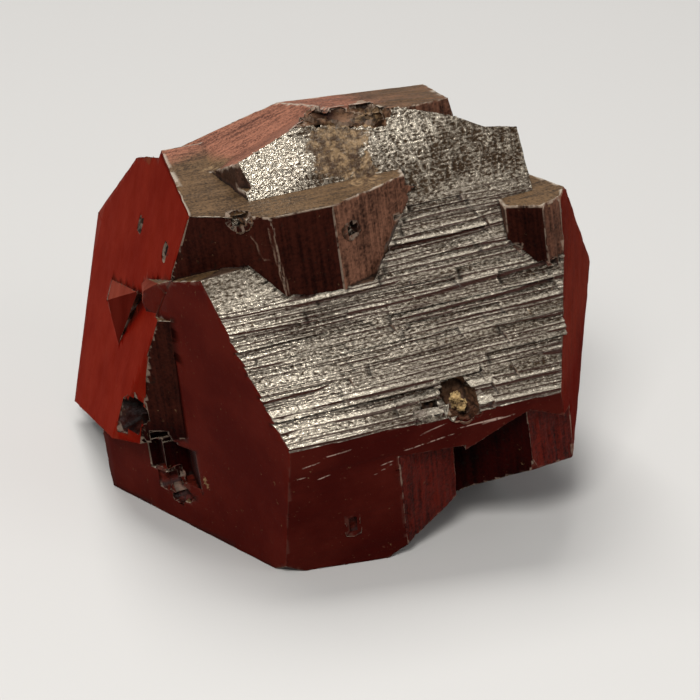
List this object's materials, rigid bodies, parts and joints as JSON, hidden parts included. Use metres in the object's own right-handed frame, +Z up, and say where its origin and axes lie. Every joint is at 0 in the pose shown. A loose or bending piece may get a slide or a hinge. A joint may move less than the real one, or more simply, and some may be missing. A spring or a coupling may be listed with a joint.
{
  "type": "goethite pseudomorph",
  "caption": "Dark brown group of blocky intergrown crystals, with a large pewter-grey striated face, flat side faces, ledges and pits, resting on a flat broken base.",
  "frame": {"origin": "middle of the bounding box's bottom, on the plane the specimen rests on", "axes": "+Z up as it rests; the large striated face looks to -Y and up; +X to the right of that face"},
  "size_m": [0.0418, 0.0394, 0.0325],
  "materials": {
    "goethite": "dark liver-brown to pewter-grey, submetallic, striated and softly sparkling on the large front face",
    "buff_matrix": "dull buff, rough, earthy"
  },
  "bodies": {
    "root": {"goethite_crystals": "goethite", "matrix_grain": "buff_matrix"}
  },
  "joints": []
}
